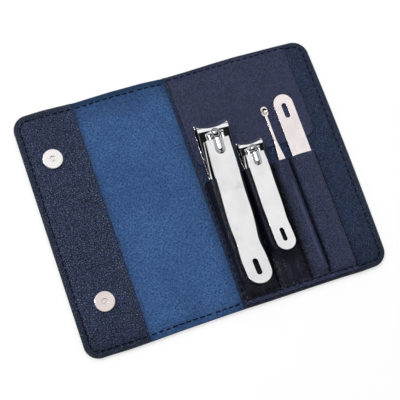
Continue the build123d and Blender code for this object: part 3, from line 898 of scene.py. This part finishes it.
def soften(z, lowest, sewn):
    """Evens out the leather, but never below lowest."""
    for _ in range(SOFTEN_ROUNDS):
        z = np.where(sewn, SEWN, np.maximum((around(z) + 4 * z) / 8, lowest))
    return z


def hollows(z):
    """How far each point lies below the leather around it: 0 on ridges, 1 deep in a seam."""
    spread = z
    for _ in range(HOLLOW_ROUNDS):
        spread = around(spread) / 4
    return np.clip((spread - z) / 0.55, 0, 1)


def arches(x, y):
    """The leather is stiffer than a skin, so each channel stands in a low arch."""
    arch = np.zeros_like(x)
    for left, right, tall in zip(SEAMS[:-1], SEAMS[1:], ARCHES):
        a, b = seam_x(left, y), seam_x(right, y)
        share = np.clip((x - a) / (b - a), 0, 1)
        arch = np.maximum(arch, tall * np.sin(math.pi * share) * ((x >= a) & (x <= b)))
    return arch * smooth(y, POCKET_Y[0] + 1.5, POCKET_Y[0] + 8)


def ridge(x, y, height, width):
    """The fold beside the pick."""
    run = smooth(y, -54, -46) * (1 - smooth(y, -14, -5))
    return height * bell(x, RIDGE_X, width) * run


def creased(z, x, y, free):
    """Adds creases, which fade towards the seams."""
    # slack folds below the small clipper
    slack = bell(x, 28, 8.5) * bell(y, -49.5, 7.5) * smooth(y, -56.5, -53)
    waves = 0.42 * np.sin((x + 0.22 * y) * math.tau / 5.2 + 0.9 * np.sin(y * 0.33))
    folds = waves + 0.28 * ripple(x, y, 6.0, 31, 2.2)
    z = z + slack * (folds + 0.45)
    # smaller ones below the large clipper's tail
    tail_slack = bell(x, 11, 8) * bell(y, -54.5, 2.4)
    z = z + tail_slack * 0.25 * np.sin(x * math.tau / 4.4)
    # long soft creases beside the tools
    z = z + 0.10 * ripple(x, y, 5.0, 41, 5.0) * free * (1 - smooth(x, 35, 38))
    return z + 0.07 * ripple(x, y, 9.0, 43, 3.0) * free


def pocket_skin(x, y):
    """Height of the middle of the pocket's leather: draped over the tools, creased,
    softened, and puckered between its stitches."""
    off_seam = np.stack([np.abs(x - seam_x(seam, y)) for seam in SEAMS]).min(0)
    sewn = (y < POCKET_Y[0] + BOTTOM_SEWN) | (off_seam < SEAM_HALF)
    sewn |= (x < LEFT_SEWN) | (x > RIGHT_SEWN)
    off_seam = np.minimum(off_seam, np.abs(y - (POCKET_Y[0] + 1.6)))
    obstacle = np.maximum(stowed_tools(x, y, TOOL_GAP + LEATHER / 2), SEWN)
    z = drape(obstacle, sewn) + arches(x, y) + ridge(x, y, 0.7, 0.9)
    z = creased(z, x, y, smooth(off_seam, 0.4, 2.0))
    lowest = np.maximum(obstacle, TOP + LEATHER / 2)
    z = soften(np.where(sewn, SEWN, np.maximum(z, lowest)), lowest, sewn)
    beside_seam = bell(off_seam, 1.0, 0.7)
    pucker = beside_seam * np.sin(y * math.tau / STITCH_PITCH)
    return np.where(sewn, z, z + 0.12 * (1 + pucker) * beside_seam)


POCKET_XS = np.linspace(*POCKET_X, 195)
POCKET_YS = np.linspace(*POCKET_Y, 203)
STEP_X, STEP_Y = POCKET_XS[1] - POCKET_XS[0], POCKET_YS[1] - POCKET_YS[0]
GRID = np.meshgrid(POCKET_XS, POCKET_YS, indexing="ij")
SKIN = pocket_skin(*GRID)


def pocket_looks(x, y):
    """Where the leather is polished and darkened by painted shade round the clippers, where
    painted shade darkens it in its hollows, and where a painted highlight runs along its fold.
    """
    off_bottom = smooth(y, POCKET_Y[0] + 1.4, POCKET_Y[0] + 2.8)
    # glossier leather, also darkened with painted shade round the clippers and beside the pick
    polish_and_painted_shade = smooth(x, 2.0, 3.0) * (1 - smooth(x, 34.5, 41.5)) + 0.3 * bell(x, 42.5, 2.2)
    return {
        "polish_and_painted_shade": np.clip(polish_and_painted_shade, 0, 1) * off_bottom,
        # painted shade, darkest where the leather lies below the leather around it
        "deep": hollows(SKIN) * smooth(x, 1.9, 3.0) * off_bottom,
        # a painted highlight along the fold beside the pick
        "painted_ridge_highlight": ridge(x, y, 0.5, 0.55),
    }


def pocket_mesh(x, y):
    """The draped leather with its thickness, square to its surface and rounded at the edge."""
    slope_x, slope_y = np.gradient(SKIN, STEP_X, STEP_Y)
    normal = np.stack([-slope_x, -slope_y, np.ones_like(SKIN)], -1)
    normal /= np.linalg.norm(normal, axis=-1, keepdims=True)
    edge = np.minimum(np.minimum(x - POCKET_X[0], POCKET_X[1] - x),
                      np.minimum(y - POCKET_Y[0], POCKET_Y[1] - y))
    normal[..., :2] *= smooth(edge, 0.0, 0.6)[..., None]
    half = LEATHER / 2 * np.sqrt(np.clip(1 - (1 - np.clip(edge / 0.3, 0, 1)) ** 2, 0.02, 1))
    centre = np.stack([*bow(*corner_map(x, y)), SKIN], -1)
    sides = [centre + normal * half[..., None], centre - normal * half[..., None]]
    points = np.concatenate([side.reshape(-1, 3) for side in sides])
    faces, _ = sheet_faces(*x.shape)
    return mesh_object("pocket_sheet", points, faces, on_both_sides(pocket_looks(x, y)))


pocket = pocket_mesh(*GRID)
dress(pocket, POCKET_NAVY, "tool_side", slot="navy_leather", replaces=["pocket_panel"])


def pocket_height(x, y):
    """The pocket's top at one place, between the grid's points."""
    i = np.clip((x - POCKET_X[0]) / STEP_X, 0, len(POCKET_XS) - 1.001)
    j = np.clip((y - POCKET_Y[0]) / STEP_Y, 0, len(POCKET_YS) - 1.001)
    i0, j0 = int(i), int(j)
    fi, fj = i - i0, j - j0
    patch = SKIN[i0:i0 + 2, j0:j0 + 2]
    return (patch[0, 0] * (1 - fi) * (1 - fj) + patch[1, 0] * fi * (1 - fj)
            + patch[0, 1] * (1 - fi) * fj + patch[1, 1] * fi * fj) + LEATHER / 2


# ---------------------------------------------------------------- stitching
def edge_row(start_x, end_x, side):
    """Points along one long edge of the case; side is 1 at the top and -1 at the bottom."""
    x = np.linspace(start_x, end_x, 60)
    y = np.full_like(x, side * (HALF_H - STITCH_INSET))
    return np.stack([x, y], -1)


def corner_run(sign_x):
    """The two corners and the short edge between them on one side of the case."""
    radius = CORNER - STITCH_INSET
    cx, cy = sign_x * (HALF_W - CORNER), HALF_H - CORNER
    upper = [(cx + sign_x * radius * math.sin(t), cy + radius * math.cos(t))
             for t in np.linspace(0, math.pi / 2, 14)]
    lower = [(x, -y) for x, y in reversed(upper)]
    return upper + lower


def bowed(line):
    line = np.asarray(line, float)
    return np.stack(bow(line[:, 0], line[:, 1]), -1)


def add_stitches(name, lines, height, body, radius=STITCH_RADIUS):
    jitter = np.random.default_rng(sum(map(ord, name)))
    points, faces = [], []
    for line in lines:
        stitch_row(points, faces, bowed(line), height, jitter, radius)
    piece = mesh_object(name, points, faces)
    return dress(piece, THREAD, body)


FLAT_RIM = TOP + groove(np.array(STITCH_INSET))
ROW_START = 1.6                      # the tool side's row starts and ends here
GUARD_ROW_END = 61.0                 # it leaves the protective flap for the corner here,
EDGE_ROW_END, POCKET_ROW_START = 62.5, 58.5     # and comes in to the pocket between these
STRIP_ROW_X = FOLD_C - 1.0           # the strip's row starts and ends here
SUEDE_ROWS = {
    "stitches_spine": (FOLD_A - 0.6, FOLD_B + 0.6, "spine"),
    "stitches_cover": (FOLD_B - 0.6, FOLD_C + 0.4, "cover"),
}
SEAM_ENDS = 2.2, -55.4               # the pocket's seams run between these


def strip_stitch_height(x, y):
    return FLAT_RIM + strip_lift(x) + THREAD_LIFT


def base_stitch_height(x, y):
    if GUARD_X[0] < x < GUARD_X[1] and y > 50:
        return guard_top(np.array(x), np.array(GUARD_SEAM_Y))
    if POCKET_X[0] < x < POCKET_X[1] and y < -50:
        return pocket_height(x, POCKET_SEAM_Y) - 0.1
    return FLAT_RIM + THREAD_LIFT


def suede_stitch_height(x, y):
    return suede_top(x, y) + THREAD_LIFT


along_guard = [(ROW_START, GUARD_SEAM_Y), (GUARD_ROW_END, GUARD_SEAM_Y)]
along_pocket = [(EDGE_ROW_END, -HALF_H + STITCH_INSET), (POCKET_ROW_START, POCKET_SEAM_Y),
                (ROW_START, POCKET_SEAM_Y)]
right_run = along_guard + corner_run(1) + along_pocket
left_run = [(STRIP_ROW_X, HALF_H - STITCH_INSET), *corner_run(-1),
            (STRIP_ROW_X, -HALF_H + STITCH_INSET)]
add_stitches("stitches_tool_side", [right_run], base_stitch_height, "tool_side")
add_stitches("stitches_snap_flap", [left_run], strip_stitch_height, "snap_flap")
for name, (first, last, body) in SUEDE_ROWS.items():
    rows = [edge_row(first, last, side) for side in (1, -1)]
    add_stitches(name, rows, suede_stitch_height, body)
pocket_rows = [[(seam_x(seam, y), y) for y in SEAM_ENDS] for seam in SEAMS]
add_stitches("stitches_pocket", pocket_rows, pocket_height, "tool_side", SEAM_RADIUS)

# ---------------------------------------------------------------- CAD nodes that stay
NODE_LOOKS = {
    "tool_side_board": BOARD, "cover_board": BOARD, "snap_flap_board": BOARD,
    "spine_interlining": FELT, "closure_magnets": MAGNET, "snap_magnets": MAGNET,
    "snap_washers": WASHER, "snap_disc_upper": PLATE, "snap_disc_lower": PLATE_PINK,
    "ear_pick": PICK_STEEL, "nail_file": SATIN,
}
for size in ("large", "small"):
    for part in ("lower_arm", "upper_arm", "rivet"):
        NODE_LOOKS[size + "_" + part] = CHROME
    NODE_LOOKS[size + "_pin"] = SHADED_PIN_CHROME
    NODE_LOOKS[size + "_lever"] = LEVER_CHROME
for name, material in NODE_LOOKS.items():
    node = frame["nodes"][name]
    node.data.materials.clear()
    node.data.materials.append(material)

# ---------------------------------------------------------------- floor, light and camera
FLOOR_HALF, FLOOR_DROP = 3.0, 0.0004     # metres
FLOOR_GREY = (0.8, 0.8, 0.8, 1)          # the floor's colour as it lights the object
SHOWN_GREY = (0.38, 0.38, 0.38, 1)       # and as it is seen, where the glow adds the rest
FLOOR_GLOW, SKY = 0.64, 0.36


def stage_piece(name, points, faces, material):
    """A thing in the studio that isn't part of the object. points are in metres."""
    data = bpy.data.meshes.new(name)
    data.from_pydata(points, [], faces)
    data.materials.append(material)
    piece = add_object(name, data)
    return piece


def rectangle(left, right, near, far, height):
    points = [(left, near, height), (right, near, height), (right, far, height),
              (left, far, height)]
    return points, [(0, 1, 2, 3)]


def wall(start, end, low, high, radius):
    """Part of a round wall, between two angles in degrees and two heights."""
    sides = 24
    turns = [math.radians(start + (end - start) * k / sides) for k in range(sides + 1)]
    points = [(radius * math.cos(a), radius * math.sin(a), z) for z in (low, high) for a in turns]
    step = sides + 1
    return points, [(k, k + 1, step + k + 1, step + k) for k in range(sides)]


def studio_card(name, points, faces, low, high, top):
    """A card that only reflections see: its glow is low at the floor, and high from top up."""
    material = bpy.data.materials.new(name + "_look")
    nodes = Nodes(material)
    height = nodes.add("SeparateXYZ", "Z", Vector=nodes.add("TexCoord", "Object"))
    ramp = nodes.add("MapRange", "Result", {"interpolation_type": "SMOOTHSTEP"}, Value=height,
                     From_Min=0.0, From_Max=top, To_Min=low, To_Max=high)
    nodes.put(nodes.surface, nodes.add("Emission", Strength=ramp))
    shown = stage_piece(name, points, faces, material)
    shown.visible_camera = shown.visible_diffuse = shown.visible_shadow = False
    shown.visible_transmission = shown.visible_volume_scatter = False


def area_light(name, place, size, watts):
    """A square lamp that shines at the object."""
    lamp = bpy.data.lights.new(name, "AREA")
    lamp.shape, lamp.size, lamp.energy = "SQUARE", size, watts
    holder = add_object(name, lamp)
    holder.location = place
    holder.rotation_euler = (-Vector(place)).to_track_quat("-Z", "Y").to_euler()
    return holder


ground = bpy.data.materials.new("floor_look")
nodes = Nodes(ground)
paint = nodes.add("BsdfDiffuse", Color=FLOOR_GREY)
shown = nodes.add("BsdfDiffuse", Color=SHOWN_GREY)
glow = nodes.add("Emission", Strength=FLOOR_GLOW)
nodes.two_faced(lighting=paint, seen=nodes.add("AddShader", i0=shown, i1=glow))
square = rectangle(-FLOOR_HALF, FLOOR_HALF, -FLOOR_HALF, FLOOR_HALF, 0)
floor = stage_piece("floor", *square, ground)
floor.location.z = -FLOOR_DROP

world = bpy.data.worlds.new("studio")
bpy.context.scene.world = world
nodes = Nodes(world, "OutputWorld")
WHITE = (1, 1, 1, 1)
sky = nodes.add("Background", Color=WHITE, Strength=SKY)
white = nodes.add("Background", Color=WHITE, Strength=1.0)
nodes.two_faced(lighting=sky, seen=white)

softbox = area_light("softbox", (0.1, 0.4, 1.1), 1.2, 6.0)
softbox.visible_glossy = False       # metal sees the wall and the flags instead
area_light("key", (-0.5, 0.35, 1.0), 0.25, 5.0)

# what metal mirrors, in metres: a pale wall all round, and flags that darken some sides of it
FLAG = (0.012, 0.012, 1.0)           # glow at the floor, glow at the top, height of the top
PALE = (0.12, 0.7, 0.9)
WALL_TOP, CEILING = 1.25, 1.3
FAR = 1.6
studio_card("wall_round", *wall(0, 360, 0.0, WALL_TOP, FAR + 0.05), *PALE)
studio_card("flag_low", *wall(262, 308, 0.12, WALL_TOP, FAR), *FLAG)
OVERHEAD = {
    "flag_front": (0.2, FAR, -FAR, -0.03),
    "flag_corner": (-FAR, 0.2, -FAR, -0.38),
    "flag_left": (-FAR, -0.5, -0.38, FAR),
    "flag_right": (0.85, FAR, -0.03, FAR),
    "flag_back": (-0.5, 0.85, 1.15, FAR),
}
for name, sides in OVERHEAD.items():
    studio_card(name, *rectangle(*sides, CEILING), *FLAG)

# the camera's turn and the object's place before it, x right, y down and z ahead
CAMERA_TURN = Vector((2.86841, -0.46519, 0.29085))
OBJECT_PLACE = Vector((0.37633, -3.62147, 482.81402)) * MM
camera_data = bpy.data.cameras.new("camera")
camera = add_object("camera", camera_data)
bpy.context.scene.camera = camera
camera_data.sensor_width, camera_data.lens = 36.0, 91.8
camera_data.shift_x, camera_data.shift_y = -0.0007, 0.00175
camera_data.clip_start, camera_data.clip_end = 0.01, 20
view = Matrix.Rotation(CAMERA_TURN.length, 3, CAMERA_TURN.normalized())
flip = Matrix(((1, 0, 0), (0, -1, 0), (0, 0, -1)))
facing = (flip @ view).transposed()
place = -(view.transposed() @ OBJECT_PLACE)
camera.matrix_world = Matrix.Translation(place) @ facing.to_4x4()

bpy.context.scene.view_settings.view_transform = "Standard"
